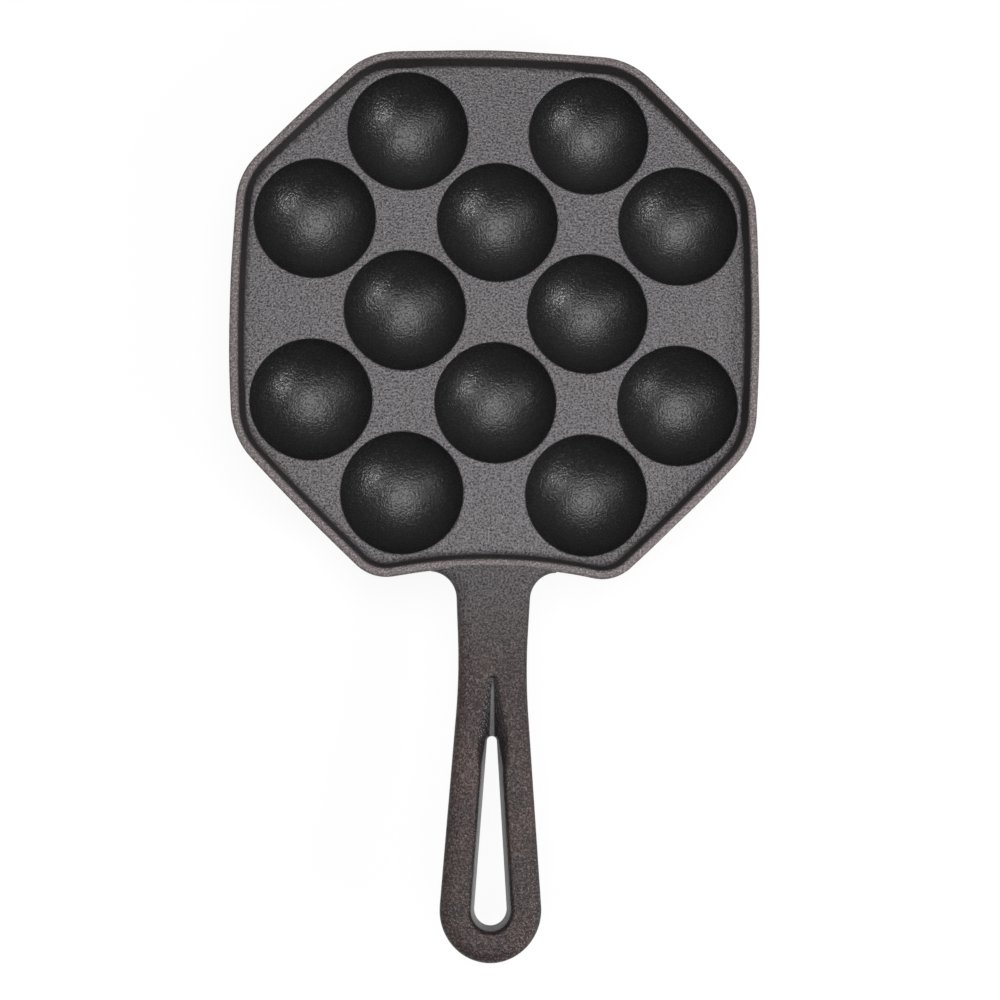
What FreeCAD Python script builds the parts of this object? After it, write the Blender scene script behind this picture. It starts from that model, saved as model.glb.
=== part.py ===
"""Cast-iron takoyaki pan: an octagonal griddle plate with twelve round cups, a raised rim and a long open handle.

Units are millimetres. The origin is the centre of the plate's top face, +Z is up, and the handle runs along -Y.
The pan is a single iron casting. The whole casting is built first, then parted into its regions,
so that each region meets its neighbours face to face.
"""

import FreeCAD, Part
import math
import os

from FreeCAD import Vector

# Cups: every second place of a five by five chequerboard
HALF_PITCH = 36.5
MOUTH_RADIUS = 24.25
CUP_DEPTH = 22.5
CUP_WALL = 4.0
LIP_RADIUS = 0.8
CUP_ROOT_FILLET = 1.5
FOOT_Z = -25.8

# Plate and rim
PLATE_THICKNESS = 4.5
RIM_HEIGHT = 6.0
RIM_WIDTH = 3.6
WALL_FOOT_OFFSET = 5.6
OUTER_DRAFT = 1.6
RIM_EDGE_RADIUS = 1.3
UNDER_RIM_RADIUS = 0.8
COVE_RADIUS = 2.2

# Plan of the octagon, measured at the top of the rim
SIDE_REACH = 105.1
DIAGONAL_REACH = 110.7
SIDE_BOW_RADIUS = 675.0
DIAGONAL_BOW_RADIUS = 1000.0
CORNER_RADIUS = 31.0
HANDLE_SIDE_REACH = 102.4
HANDLE_SIDE_RADIUS = 200.0
HANDLE_CORNER_RADIUS = 17.0

# Handle
ROOT_HALF_WIDTH = 14.9
WAIST_HALF_WIDTH = 12.9
WAIST_Y = -144.0
WAIST_RADIUS = 250.0
FLARE_HALF_WIDTH = 27.0
FLARE_Y = -103.9
FLARE_RADIUS = 10.8
LOOP_CENTRE_Y = -232.0
LOOP_RADIUS = 19.3
HANDLE_THICKNESS = 9.6
BEND_Y = -128.0
BEND_RADIUS = 160.0
RISE_DEG = 4.5
TOP_EDGE_RADIUS = 3.6
UNDER_EDGE_RADIUS = 2.8
HANDLE_ROOT_SEAM_Y = -108.0
NECK_SEAM_Y = -142.0

# Hanging slot through the handle, and the groove that leads into it
SLOT_NOSE_Y = -169.4
SLOT_NOSE_RADIUS = 1.9
SLOT_END_RADIUS = 6.15
SLOT_DRAFT = 1.6
SLOT_TOP_RADIUS = 1.6
SLOT_UNDER_RADIUS = 1.0
GROOVE_TIP_Y = -144.5
GROOVE_FLOOR_HALF_WIDTH = 1.0
GROOVE_MOUTH_HALF_WIDTH = 4.6
GROOVE_SHOULDER_RADIUS = 1.6

# Working values
UNDERSIDE = -PLATE_THICKNESS
BOWL_RADIUS = (MOUTH_RADIUS**2 + CUP_DEPTH**2) / (2 * CUP_DEPTH)
BOWL_CENTRE_Z = BOWL_RADIUS - CUP_DEPTH
SHELL_RADIUS = BOWL_RADIUS + CUP_WALL
HALF_THICKNESS = HANDLE_THICKNESS / 2
RISE = math.radians(RISE_DEG)
BEND_TANGENT = BEND_RADIUS * math.tan(RISE / 2)
MIDDLE_BEND_Y = BEND_Y - HALF_THICKNESS * math.tan(RISE / 2)
OVERSHOOT = 5.0
FAR = 400.0
ZERO = Vector(0, 0, 0)
UP = Vector(0, 0, 1)

ROW_NAMES = {2: "row1", 1: "row2", 0: "row3", -1: "row4", -2: "row5"}
COLUMN_NAMES = {-2: "far_left", -1: "left", 0: "middle", 1: "right", 2: "far_right"}
CUP_PLACES = [(i, j) for j in (2, 1, 0, -1, -2) for i in range(-2, 3) if (i + j) % 2]


def cup_name(i, j):
    """A cup's node name: its row, counted from the side away from the handle, and its column."""
    return f"cup_{ROW_NAMES[j]}_{COLUMN_NAMES[i]}"


def heading(degrees):
    """The unit vector in plan that points at an angle from +X."""
    return Vector(math.cos(math.radians(degrees)), math.sin(math.radians(degrees)), 0)


def arc_about(start, end, centre):
    """The shorter arc from start to end about centre."""
    radius = (start - centre).Length
    middle = (start + end) * 0.5 - centre
    middle.normalize()
    return Part.Arc(start, centre + middle * radius, end).toShape()


def rounded_chain(points, radii):
    """Straight runs through the points, each inner point rounded by its radius with a tangent arc."""
    edges = []
    start = points[0]
    for before, corner, after, radius in zip(points, points[1:], points[2:], radii):
        back, ahead = before - corner, after - corner
        back.normalize()
        ahead.normalize()
        half = back.getAngle(ahead) / 2
        reach = radius / math.tan(half)
        bisector = back + ahead
        bisector.normalize()
        centre = corner + bisector * (radius / math.sin(half))
        arc_start, arc_end = corner + back * reach, corner + ahead * reach
        edges.append(Part.makeLine(start, arc_start))
        edges.append(arc_about(arc_start, arc_end, centre))
        start = arc_end
    edges.append(Part.makeLine(start, points[-1]))
    return edges


def meeting_point(first, first_distance, second, second_distance, guess):
    """The point at given distances from two centres, on the side of guess."""
    gap = second - first
    along = (gap.dot(gap) + first_distance**2 - second_distance**2) / (2 * gap.Length)
    off = math.sqrt(first_distance**2 - along**2)
    gap.normalize()
    across = Vector(-gap.y, gap.x, 0)
    points = [first + gap * along + across * side * off for side in (-1, 1)]
    return min(points, key=lambda p: (p - guess).Length)


def cardinal_arc(turn):
    """The centre and radius of a cardinal side's arc, with 1 where it bows out and -1 where it bows in."""
    if turn == 270:
        return heading(turn) * (HANDLE_SIDE_REACH + HANDLE_SIDE_RADIUS), HANDLE_SIDE_RADIUS, -1
    return heading(turn) * (SIDE_REACH - SIDE_BOW_RADIUS), SIDE_BOW_RADIUS, 1


def octagon(offset, z):
    """The pan's plan at height z, inset by offset: every side is an arc, and the handle's side bows in."""
    lift = Vector(0, 0, z)
    stops = []
    for turn in (0, 90, 180, 270):
        centre, bow, sign = cardinal_arc(turn)
        bow -= sign * offset
        corner = (CORNER_RADIUS if sign > 0 else HANDLE_CORNER_RADIUS) - offset
        for step in (-45, 45):
            normal = heading(turn + step)
            diagonal_centre = normal * (DIAGONAL_REACH - DIAGONAL_BOW_RADIUS)
            diagonal_bow = DIAGONAL_BOW_RADIUS - offset
            guess = heading(turn + step / 2) * SIDE_REACH
            middle = meeting_point(diagonal_centre, diagonal_bow - corner, centre, bow - sign * corner, guess)
            from_diagonal, from_side = middle - diagonal_centre, (middle - centre) * sign
            from_diagonal.normalize()
            from_side.normalize()
            on_diagonal, on_side = middle + from_diagonal * corner, middle + from_side * corner
            ends = (on_diagonal, on_side) if step < 0 else (on_side, on_diagonal)
            onward = centre if step < 0 else diagonal_centre
            stops.append((ends[0] + lift, ends[1] + lift, middle + lift, onward + lift))
    edges = []
    for stop, following in zip(stops, stops[1:] + stops[:1]):
        edges.append(arc_about(stop[0], stop[1], stop[2]))
        edges.append(arc_about(stop[1], following[0], stop[3]))
    return Part.Wire(edges)


def frustum(offset_low, z_low, offset_high, z_high):
    """A solid between two inset plans at two heights."""
    return Part.makeLoft([octagon(offset_low, z_low), octagon(offset_high, z_high)], True, True)


def prism(offset, z_low, z_high):
    """A straight-sided solid on one inset plan."""
    return Part.Face(octagon(offset, z_low)).extrude(Vector(0, 0, z_high - z_low))


def level_edges(shape, z):
    """The edges that lie in the horizontal plane at z."""
    boxes = [(e, e.BoundBox) for e in shape.Edges]
    return [e for e, b in boxes if abs(b.ZMin - z) < 0.02 and abs(b.ZMax - z) < 0.02]


def tray_body():
    """Plate and rim in one: a drafted slab with a tray sunk in it, a cove at the tray's foot and softened edges."""
    slab = frustum(OUTER_DRAFT, UNDERSIDE, 0.0, RIM_HEIGHT)
    slope = (WALL_FOOT_OFFSET - RIM_WIDTH) / RIM_HEIGHT
    tray = frustum(WALL_FOOT_OFFSET, 0.0, RIM_WIDTH - slope * OVERSHOOT, RIM_HEIGHT + OVERSHOOT)
    body = slab.cut(tray)
    body = body.makeFillet(COVE_RADIUS, level_edges(body, 0.0))
    body = body.makeFillet(RIM_EDGE_RADIUS, level_edges(body, RIM_HEIGHT))
    return body.makeFillet(UNDER_RIM_RADIUS, level_edges(body, UNDERSIDE))


def revolved(edges, i, j):
    """A closed profile in the XZ plane turned about the axis of the cup at place i, j."""
    solid = Part.Face(Part.Wire(Part.__sortEdges__(edges))).revolve(ZERO, UP, 360)
    solid.translate(Vector(i * HALF_PITCH, j * HALF_PITCH, 0))
    return solid


def on_bowl(radius, z):
    """The point of a bowl's profile at height z, for a sphere of the given radius about the bowl's centre."""
    return Vector(math.sqrt(radius**2 - (z - BOWL_CENTRE_Z) ** 2), 0, z)


def bowl_arc(radius, start, end):
    """The stretch of a bowl's profile between two of its points."""
    return arc_about(start, end, Vector(0, 0, BOWL_CENTRE_Z))


def cup_hollow(i, j):
    """The space in one cup: a spherical bowl whose lip rolls over onto the plate's face."""
    lip_height = BOWL_CENTRE_Z + LIP_RADIUS
    lip_x = math.sqrt((BOWL_RADIUS + LIP_RADIUS) ** 2 - lip_height**2)
    lip_centre = Vector(lip_x, 0, -LIP_RADIUS)
    towards_bowl = Vector(0, 0, BOWL_CENTRE_Z) - lip_centre
    towards_bowl.normalize()
    below = lip_centre + towards_bowl * LIP_RADIUS
    edge = Vector(lip_x, 0, 0)
    bottom = Vector(0, 0, -CUP_DEPTH)
    above = Vector(0, 0, OVERSHOOT)
    edges = [
        bowl_arc(BOWL_RADIUS, bottom, below),
        arc_about(below, edge, lip_centre),
        Part.makeLine(edge, edge + above),
        Part.makeLine(edge + above, above),
        Part.makeLine(above, bottom),
    ]
    return revolved(edges, i, j)


def cup_mass(i, j):
    """The iron of one cup below the plate, before it is hollowed: a bowl on a flat foot with a fillet at its root."""
    fillet_drop = BOWL_CENTRE_Z - UNDERSIDE + CUP_ROOT_FILLET
    root_x = math.sqrt((SHELL_RADIUS + CUP_ROOT_FILLET) ** 2 - fillet_drop**2)
    fillet_centre = Vector(root_x, 0, UNDERSIDE - CUP_ROOT_FILLET)
    towards_bowl = Vector(0, 0, BOWL_CENTRE_Z) - fillet_centre
    towards_bowl.normalize()
    root = Vector(root_x, 0, UNDERSIDE)
    on_shell = fillet_centre + towards_bowl * CUP_ROOT_FILLET
    foot_edge = on_bowl(SHELL_RADIUS, FOOT_Z)
    foot_centre = Vector(0, 0, FOOT_Z)
    top_centre = Vector(0, 0, UNDERSIDE)
    edges = [
        Part.makeLine(foot_centre, foot_edge),
        bowl_arc(SHELL_RADIUS, foot_edge, on_shell),
        arc_about(on_shell, root, fillet_centre),
        Part.makeLine(root, top_centre),
        Part.makeLine(top_centre, foot_centre),
    ]
    return revolved(edges, i, j)


def trim_to_neighbours(cup, i, j):
    """Cut a cup's outer bowl half-way to each cup that it runs into, where the two share one web of iron."""
    centre = Vector(i * HALF_PITCH, j * HALF_PITCH, 0)
    for di, dj in ((1, 1), (-1, 1), (-1, -1), (1, -1)):
        if (i + di, j + dj) not in CUP_PLACES:
            continue
        beyond = Part.makeBox(FAR, FAR, FAR, Vector(0, -FAR / 2, -FAR / 2))
        beyond.rotate(ZERO, UP, math.degrees(math.atan2(dj, di)))
        beyond.translate(centre + Vector(di, dj, 0) * (HALF_PITCH / 2))
        cup = cup.cut(beyond)
    return cup


def cup(i, j):
    """One finished cup below the plate."""
    return trim_to_neighbours(cup_mass(i, j).cut(cup_hollow(i, j)), i, j)


def rise_at(y):
    """How far the handle has risen at y: level at first, then a bend, then a steady climb."""
    run = BEND_Y + BEND_TANGENT - y
    if run <= 0:
        return 0.0
    if run < BEND_RADIUS * math.sin(RISE):
        return BEND_RADIUS - math.sqrt(BEND_RADIUS**2 - run**2)
    return (BEND_Y - y) * math.tan(RISE)


def handle_plan():
    """The handle from above: root flares, a neck that narrows to a waist, then widening sides and a round end."""
    waist = Vector(WAIST_HALF_WIDTH, WAIST_Y, 0)
    to_centre = Vector(0, LOOP_CENTRE_Y, 0) - waist
    lean = math.asin(LOOP_RADIUS / to_centre.Length) - math.atan2(WAIST_HALF_WIDTH, -to_centre.y)
    touch = Vector(LOOP_RADIUS * math.cos(lean), LOOP_CENTRE_Y + LOOP_RADIUS * math.sin(lean), 0)
    inside = -(HANDLE_SIDE_REACH - RIM_WIDTH)
    flare_start = Vector(FLARE_HALF_WIDTH, FLARE_Y, 0)
    corners = [flare_start, Vector(ROOT_HALF_WIDTH, FLARE_Y, 0), waist, touch]
    right = rounded_chain(corners, [FLARE_RADIUS, WAIST_RADIUS])
    right.append(Part.makeLine(Vector(FLARE_HALF_WIDTH, inside, 0), flare_start))
    left = [e.mirror(ZERO, Vector(1, 0, 0)) for e in right]
    end = Part.Arc(touch, Vector(0, LOOP_CENTRE_Y - LOOP_RADIUS, 0), Vector(-touch.x, touch.y, 0)).toShape()
    root = Part.makeLine(Vector(-FLARE_HALF_WIDTH, inside, 0), Vector(FLARE_HALF_WIDTH, inside, 0))
    return Part.Wire(Part.__sortEdges__(right + left + [end, root]))


def handle_side():
    """The handle from the side: flush with the rim's top at the root, then bent gently up to its end."""
    start_y = -(HANDLE_SIDE_REACH - WALL_FOOT_OFFSET)
    end_y = LOOP_CENTRE_Y - LOOP_RADIUS - OVERSHOOT
    fall = HANDLE_THICKNESS / math.cos(RISE)

    def line(z, radius):
        """The root, bend and end points of one long edge, with its bend."""
        shift = (RIM_HEIGHT - z) * math.tan(RISE / 2)
        bend = Vector(0, BEND_Y - shift, z)
        finish = Vector(0, end_y, z + (bend.y - end_y) * math.tan(RISE))
        return rounded_chain([Vector(0, start_y, z), bend, finish], [radius])

    top = line(RIM_HEIGHT, BEND_RADIUS)
    low = line(RIM_HEIGHT - HANDLE_THICKNESS, BEND_RADIUS + HANDLE_THICKNESS)
    closing = [
        Part.makeLine(Vector(0, start_y, RIM_HEIGHT), Vector(0, start_y, RIM_HEIGHT - HANDLE_THICKNESS)),
        Part.makeLine(top[-1].Vertexes[-1].Point, low[-1].Vertexes[-1].Point),
    ]
    return Part.Wire(Part.__sortEdges__(top + low + closing))


def tilted(shape):
    """Carry a shape drawn about the level mid-plane z = 0 up onto the rising part of the handle."""
    shape.translate(Vector(0, -MIDDLE_BEND_Y, 0))
    shape.rotate(ZERO, Vector(1, 0, 0), -RISE_DEG)
    shape.translate(Vector(0, MIDDLE_BEND_Y, RIM_HEIGHT - HALF_THICKNESS))
    return shape


def slot_outline(grow, z):
    """The slot's plan at height z, a long drop, larger all round by grow."""
    nose, end = SLOT_NOSE_RADIUS + grow, SLOT_END_RADIUS + grow
    lean = math.asin((end - nose) / (SLOT_NOSE_Y - LOOP_CENTRE_Y))
    nose_centre, end_centre = Vector(0, SLOT_NOSE_Y, z), Vector(0, LOOP_CENTRE_Y, z)
    right = Vector(math.cos(lean), math.sin(lean), 0)
    left = Vector(-right.x, right.y, 0)
    foot = end_centre - Vector(0, end, 0)
    tip = nose_centre + Vector(0, nose, 0)
    return Part.Wire(
        [
            Part.makeLine(nose_centre + right * nose, end_centre + right * end),
            Part.Arc(end_centre + right * end, foot, end_centre + left * end).toShape(),
            Part.makeLine(end_centre + left * end, nose_centre + left * nose),
            Part.Arc(nose_centre + left * nose, tip, nose_centre + right * nose).toShape(),
        ]
    )


def slot_half(side):
    """The slot's upper or lower half, which widens from the parting line to the face."""
    height = HALF_THICKNESS + 1.0
    grow = SLOT_DRAFT * height / HALF_THICKNESS
    return Part.makeLoft([slot_outline(0, 0), slot_outline(grow, side * height)], True, True)


def groove_section(y, depth, floor, shoulder):
    """The groove across the handle: a flat floor, sloping walls, and shoulders that roll over onto the top."""
    slope = (GROOVE_MOUTH_HALF_WIDTH - GROOVE_FLOOR_HALF_WIDTH) / HALF_THICKNESS
    lean = math.atan2(1.0, slope)
    reach = shoulder * math.tan(lean / 2)
    mouth = Vector(floor + slope * depth, y, HALF_THICKNESS)
    on_wall = mouth - Vector(math.cos(lean), 0, math.sin(lean)) * reach
    on_top = mouth + Vector(reach, 0, 0)
    bottom = Vector(floor, y, HALF_THICKNESS - depth)
    above = on_top + Vector(0, 0, 1.0)
    arc = arc_about(on_wall, on_top, on_top - Vector(0, 0, shoulder))
    right = [Part.makeLine(bottom, on_wall), arc, Part.makeLine(on_top, above)]
    left = [e.mirror(ZERO, Vector(1, 0, 0)) for e in right]
    floor_line = Part.makeLine(Vector(-floor, y, bottom.z), bottom)
    top_line = Part.makeLine(above, Vector(-above.x, y, above.z))
    return Part.Wire(Part.__sortEdges__([floor_line] + right + [top_line] + left))


def groove():
    """The groove ahead of the slot: a trough that deepens and widens from its tip to the slot's nose."""
    tip = groove_section(GROOVE_TIP_Y, 0.2, 0.25, 0.2)
    nose = groove_section(SLOT_NOSE_Y, HALF_THICKNESS, GROOVE_FLOOR_HALF_WIDTH, GROOVE_SHOULDER_RADIUS)
    return Part.makeLoft([tip, nose], True, True)


def slot_edges(bar, side):
    """The edges round the slot on the handle's top, or on its underside."""
    level = tilted(Part.makePlane(FAR, FAR, Vector(-FAR / 2, -FAR, side * HALF_THICKNESS)))
    found = []
    for edge in bar.Edges:
        box = edge.BoundBox
        inside = box.XMax < LOOP_RADIUS / 2 and box.XMin > -LOOP_RADIUS / 2
        if not inside or box.YMax > GROOVE_TIP_Y:
            continue
        middle = edge.valueAt((edge.FirstParameter + edge.LastParameter) / 2)
        points = [v.Point for v in edge.Vertexes] + [middle]
        if all(level.distToShape(Part.Vertex(p))[0] < 0.01 for p in points):
            found.append(edge)
    return found


def face_edges(bar, drop):
    """The edges that run along the handle's top, or along its underside at drop below, but not those across it."""
    found = []
    for edge in bar.Edges:
        box = edge.BoundBox
        if box.YLength < 0.05 or box.YMin > FLARE_Y - 0.05:
            continue
        middle = edge.valueAt((edge.FirstParameter + edge.LastParameter) / 2)
        points = [v.Point for v in edge.Vertexes] + [middle]
        level = [RIM_HEIGHT + rise_at(p.y) - drop for p in points]
        if all(abs(p.z - z) < 0.12 for p, z in zip(points, level)):
            found.append(edge)
    return found


def handle_bar():
    """The whole handle: plan and side view crossed, outer edges rounded, then the slot and its groove cut."""
    plan = Part.Face(handle_plan()).extrude(Vector(0, 0, FAR))
    plan.translate(Vector(0, 0, -FAR / 2))
    side = Part.Face(handle_side()).extrude(Vector(FAR, 0, 0))
    side.translate(Vector(-FAR / 2, 0, 0))
    bar = plan.common(side)
    bar = bar.makeFillet(TOP_EDGE_RADIUS, face_edges(bar, 0.0))
    bar = bar.makeFillet(UNDER_EDGE_RADIUS, face_edges(bar, HANDLE_THICKNESS))
    bar = bar.cut(tilted(slot_half(1).fuse(slot_half(-1))))
    bar = bar.makeFillet(SLOT_TOP_RADIUS, slot_edges(bar, 1))
    bar = bar.makeFillet(SLOT_UNDER_RADIUS, slot_edges(bar, -1))
    return bar.cut(tilted(groove()))


def slab_of_space(y_low, y_high):
    """A block of space across the whole pan between two distances along the handle."""
    return Part.makeBox(FAR, y_high - y_low, FAR, Vector(-FAR / 2, y_low, -FAR / 2))


def regions():
    """Every region of the casting by its node name."""
    tray = tray_body()
    hollows = Part.makeCompound([cup_hollow(i, j) for i, j in CUP_PLACES])
    inner = prism(WALL_FOOT_OFFSET, UNDERSIDE - OVERSHOOT, RIM_HEIGHT)
    bar = handle_bar().cut(inner)
    framed = tray.cut(inner).fuse(bar.common(slab_of_space(HANDLE_ROOT_SEAM_Y, 0.0)))
    nodes = {
        "griddle_plate": tray.common(inner).cut(hollows),
        "rim": framed.removeSplitter(),
        "handle_neck": bar.common(slab_of_space(NECK_SEAM_Y, HANDLE_ROOT_SEAM_Y)),
        "handle_loop": bar.common(slab_of_space(-FAR, NECK_SEAM_Y)),
    }
    for i, j in CUP_PLACES:
        nodes[cup_name(i, j)] = cup(i, j)
    return nodes


if __name__ == "__main__":
    os.makedirs("parts", exist_ok=True)
    for name, solid in regions().items():
        solid.exportStep(f"parts/{name}.step")
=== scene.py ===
"""Looks of a cast-iron takoyaki pan: a seasoned octagonal griddle with round cups and one long open handle.

Shapes are worked out in millimetres and turned into metres when a mesh is made.
The origin is the centre of the plate's top face, +Z is up and the handle runs along -Y.
"""

import logging
import math
from dataclasses import dataclass, field, fields
from enum import Enum
from itertools import product
from typing import Callable, Optional, Sequence, Union

import bpy
import numpy as np
from mathutils import Matrix, Vector


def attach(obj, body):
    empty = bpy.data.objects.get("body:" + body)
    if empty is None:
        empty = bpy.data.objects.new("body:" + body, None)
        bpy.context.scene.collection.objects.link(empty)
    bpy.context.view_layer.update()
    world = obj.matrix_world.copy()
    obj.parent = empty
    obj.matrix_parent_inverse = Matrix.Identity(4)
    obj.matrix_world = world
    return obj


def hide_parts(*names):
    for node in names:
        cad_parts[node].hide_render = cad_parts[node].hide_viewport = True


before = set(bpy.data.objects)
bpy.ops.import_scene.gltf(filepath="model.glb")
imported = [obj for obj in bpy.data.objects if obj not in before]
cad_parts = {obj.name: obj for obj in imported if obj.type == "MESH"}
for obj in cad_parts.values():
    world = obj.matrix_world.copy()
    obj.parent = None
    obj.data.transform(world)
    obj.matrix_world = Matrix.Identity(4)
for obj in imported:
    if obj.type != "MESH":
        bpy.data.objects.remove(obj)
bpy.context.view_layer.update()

Array = np.ndarray
Value = Union[float, Array]
log = logging.getLogger("takoyaki_pan")
MM = 0.001
WELD_DISTANCE = 2e-6  # metres
UNDERSIDE_Z = -4.5
RIM_TOP_Z = 6.0
FLOOR_Z = -25.8  # the cups' feet
HANDLE_TURN = 270  # where the handle's side faces, in degrees from +X
BLOCK_POINTS = 4000  # measured at once
ARC_STEPS = 8  # points on a small arc


class CupRow(Enum):
    """The rows of cups, and their places in half pitches from the plate's centre."""

    ROW1 = 2
    ROW2 = 1
    ROW3 = 0
    ROW4 = -1
    ROW5 = -2


class CupColumn(Enum):
    """The columns of cups, and their places in half pitches from the plate's centre."""

    FAR_LEFT = -2
    LEFT = -1
    MIDDLE = 0
    RIGHT = 1
    FAR_RIGHT = 2


# Meshes


@dataclass(frozen=True)
class Marks:
    """What the finish reads from a grid's points: each from 0 to 1, one number or one for each point."""

    # The first mark blackens the iron with seasoning and with painted shade in the bowls, in recesses, along
    # rounded edges and underneath.
    seasoned: Value = 0.0
    browned: Value = 0.0
    rubbed: Value = 0.0
    # The last mark turns the iron light grey: ground iron, and on the slot's wall a painted reflection of
    # the white floor.
    ground: Value = 0.0


MARK_NAMES = tuple(mark.name for mark in fields(Marks))


@dataclass
class SkinBuilder:
    """Collects grids of points, with their marks, into one mesh."""

    points: list = field(default_factory=list)
    faces: list = field(default_factory=list)
    marks: dict = field(default_factory=lambda: {name: [] for name in MARK_NAMES})
    count: int = 0

    def add_grid(
        self,
        grid: Array,
        marks: Marks = Marks(),
        wrap: bool = False,
        flip: bool = False,
        keep: Optional[Array] = None,
    ) -> None:
        """Add a grid of points and the four-sided faces between its rows and columns.

        Args:
            grid: rows by columns by 3, in millimetres.
            marks: what the finish reads.
            wrap: whether the last column joins the first.
            flip: whether the faces turn the other way.
            keep: rows by columns of faces, True where a face is kept.
        """
        rows, columns = grid.shape[:2]
        index = np.arange(rows * columns).reshape(rows, columns) + self.count
        across = np.concatenate([index, index[:, :1]], axis=1) if wrap else index
        a, b = across[:-1, :-1], across[:-1, 1:]
        c, d = across[1:, 1:], across[1:, :-1]
        quads = np.stack((a, d, c, b) if flip else (a, b, c, d), axis=-1)
        if keep is not None:
            quads = quads[keep]
        self.points.append(grid.reshape(-1, 3))
        self.faces.append(quads.reshape(-1, 4))
        for name, store in self.marks.items():
            store.append(np.broadcast_to(getattr(marks, name), (rows, columns)).reshape(-1).astype(float))
        self.count += rows * columns

    def dress(
        self, name: str, finish: bpy.types.Material, slot: str, *nodes: str, crisp: float = 50.0
    ) -> bpy.types.Object:
        """Weld the grids into one object, give it its finish, and hide the nodes that it stands for.

        Args:
            name: the piece's name.
            finish: its material.
            slot: not used.
            nodes: the nodes that it replaces.
            crisp: edges that turn by more than this many degrees stay sharp.

        Returns:
            The piece, at the origin, in metres.
        """
        points = np.concatenate(self.points) * MM
        whole = np.round(points / WELD_DISTANCE).astype(np.int64)
        _, first, where = np.unique(whole, axis=0, return_index=True, return_inverse=True)
        quads = where.reshape(-1)[np.concatenate(self.faces)]
        mesh = bpy.data.meshes.new(name)
        mesh.from_pydata(points[first].tolist(), [], self._without_repeats(quads))
        for label, store in self.marks.items():
            layer = mesh.attributes.new(label, "FLOAT", "POINT")
            layer.data.foreach_set("value", np.concatenate(store)[first].astype(np.float32))
        mesh.polygons.foreach_set("use_smooth", np.ones(len(mesh.polygons), dtype=bool))
        mesh.set_sharp_from_angle(angle=math.radians(crisp))
        mesh.validate()
        mesh.update()
        mesh.materials.append(finish)
        piece = bpy.data.objects.new(name, mesh)
        bpy.context.scene.collection.objects.link(piece)
        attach(piece, "root")
        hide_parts(*nodes)
        return piece

    @staticmethod
    def _without_repeats(quads: Array) -> list:
        """Turn four-sided faces with two corners in one place into triangles, and drop those with fewer.

        Args:
            quads: faces by four point numbers.

        Returns:
            Each face as a list of point numbers.
        """
        same = quads == np.roll(quads, 1, axis=1)
        repeats = same.sum(axis=1)
        full = quads[repeats == 0]
        crossed = (full[:, 0] == full[:, 2]) | (full[:, 1] == full[:, 3])
        thin = quads[repeats == 1]
        triangles = thin[~same[repeats == 1]].reshape(-1, 3)
        return full[~crossed].tolist() + triangles.tolist()


def unit(vectors: Array) -> Array:
    """The same vectors with length 1."""
    return vectors / np.linalg.norm(vectors, axis=-1, keepdims=True)


def raised(flat: Array, z: Array) -> Array:
    """Points in plan, each with its height."""
    return np.concatenate([flat, np.broadcast_to(z, flat.shape[:-1])[..., None]], axis=-1)


def smooth_min(a: Array, b: Array, width: float) -> Array:
    """The lesser of two heights, rounded where they cross: the lesser, less a parabola over the width."""
    blend = np.maximum(width - np.abs(a - b), 0.0) / width
    return np.minimum(a, b) - blend * blend * width / 4


def smooth_step(low: float, high: float, value: Array) -> Array:
    """A cubic ramp from 0 at low to 1 at high."""
    t = np.clip((value - low) / (high - low), 0.0, 1.0)
    return t * t * (3 - 2 * t)


def ripple(points: Array, wavelength: float, seed: int, count: int = 7, gain: float = 1.6) -> Array:
    """A gentle wave over space, as a sand mould leaves: the mean of sine waves in uneven directions.

    Args:
        points: any shape by 3, in millimetres.
        wavelength: the usual distance between two crests. Each wave's own is 0.6 to 1.6 times that.
        seed: picks the directions, the wavelengths and the phases.
        count: how many waves.
        gain: what their mean is multiplied by.

    Returns:
        Values around 0, mostly within 1.
    """
    chance = np.random.default_rng(seed)
    directions = unit(chance.normal(size=(count, 3)))
    lengths = wavelength * chance.uniform(0.6, 1.6, size=count)
    phases = chance.uniform(0, 2 * np.pi, size=count)
    waves = np.sin(points @ (directions / lengths[:, None]).T * 2 * np.pi + phases)
    return waves.mean(axis=-1) * gain


def arc_points(centre: Array, start: Array, end: Array, count: int) -> Array:
    """Points along the shorter arc about a centre: the angle runs evenly from the start's to the end's.

    Args:
        centre: the arc's centre in plan.
        start: its first point.
        end: its last point.
        count: how many points, both ends included.

    Returns:
        count by 2.
    """
    radius = np.linalg.norm(start - centre)
    first = math.atan2(*(start - centre)[::-1])
    turn = math.atan2(*(end - centre)[::-1]) - first
    turn = (turn + math.pi) % (2 * math.pi) - math.pi
    angles = first + np.linspace(0, turn, count)
    return centre + radius * np.stack([np.cos(angles), np.sin(angles)], axis=1)


def corner_arc(before: Sequence, corner: Sequence, after: Sequence, count: int) -> Array:
    """The arc of radius 1 that rounds a corner between two straight runs, measured from the corner.

    Each end lies at 1 / tan(half the corner's angle) along its run, and the centre lies between the runs
    at 1 / sin of the same half.

    Args:
        before: any point on the run that comes in.
        corner: the corner itself.
        after: any point on the run that goes out.
        count: how many points.

    Returns:
        count by 2, to be scaled by the radius and added to the corner.
    """
    back = unit(np.subtract(before, corner))
    ahead = unit(np.subtract(after, corner))
    half = math.acos(float(back @ ahead)) / 2
    centre = unit(back + ahead) / math.sin(half)
    return arc_points(centre, back / math.tan(half), ahead / math.tan(half), count)


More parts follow.
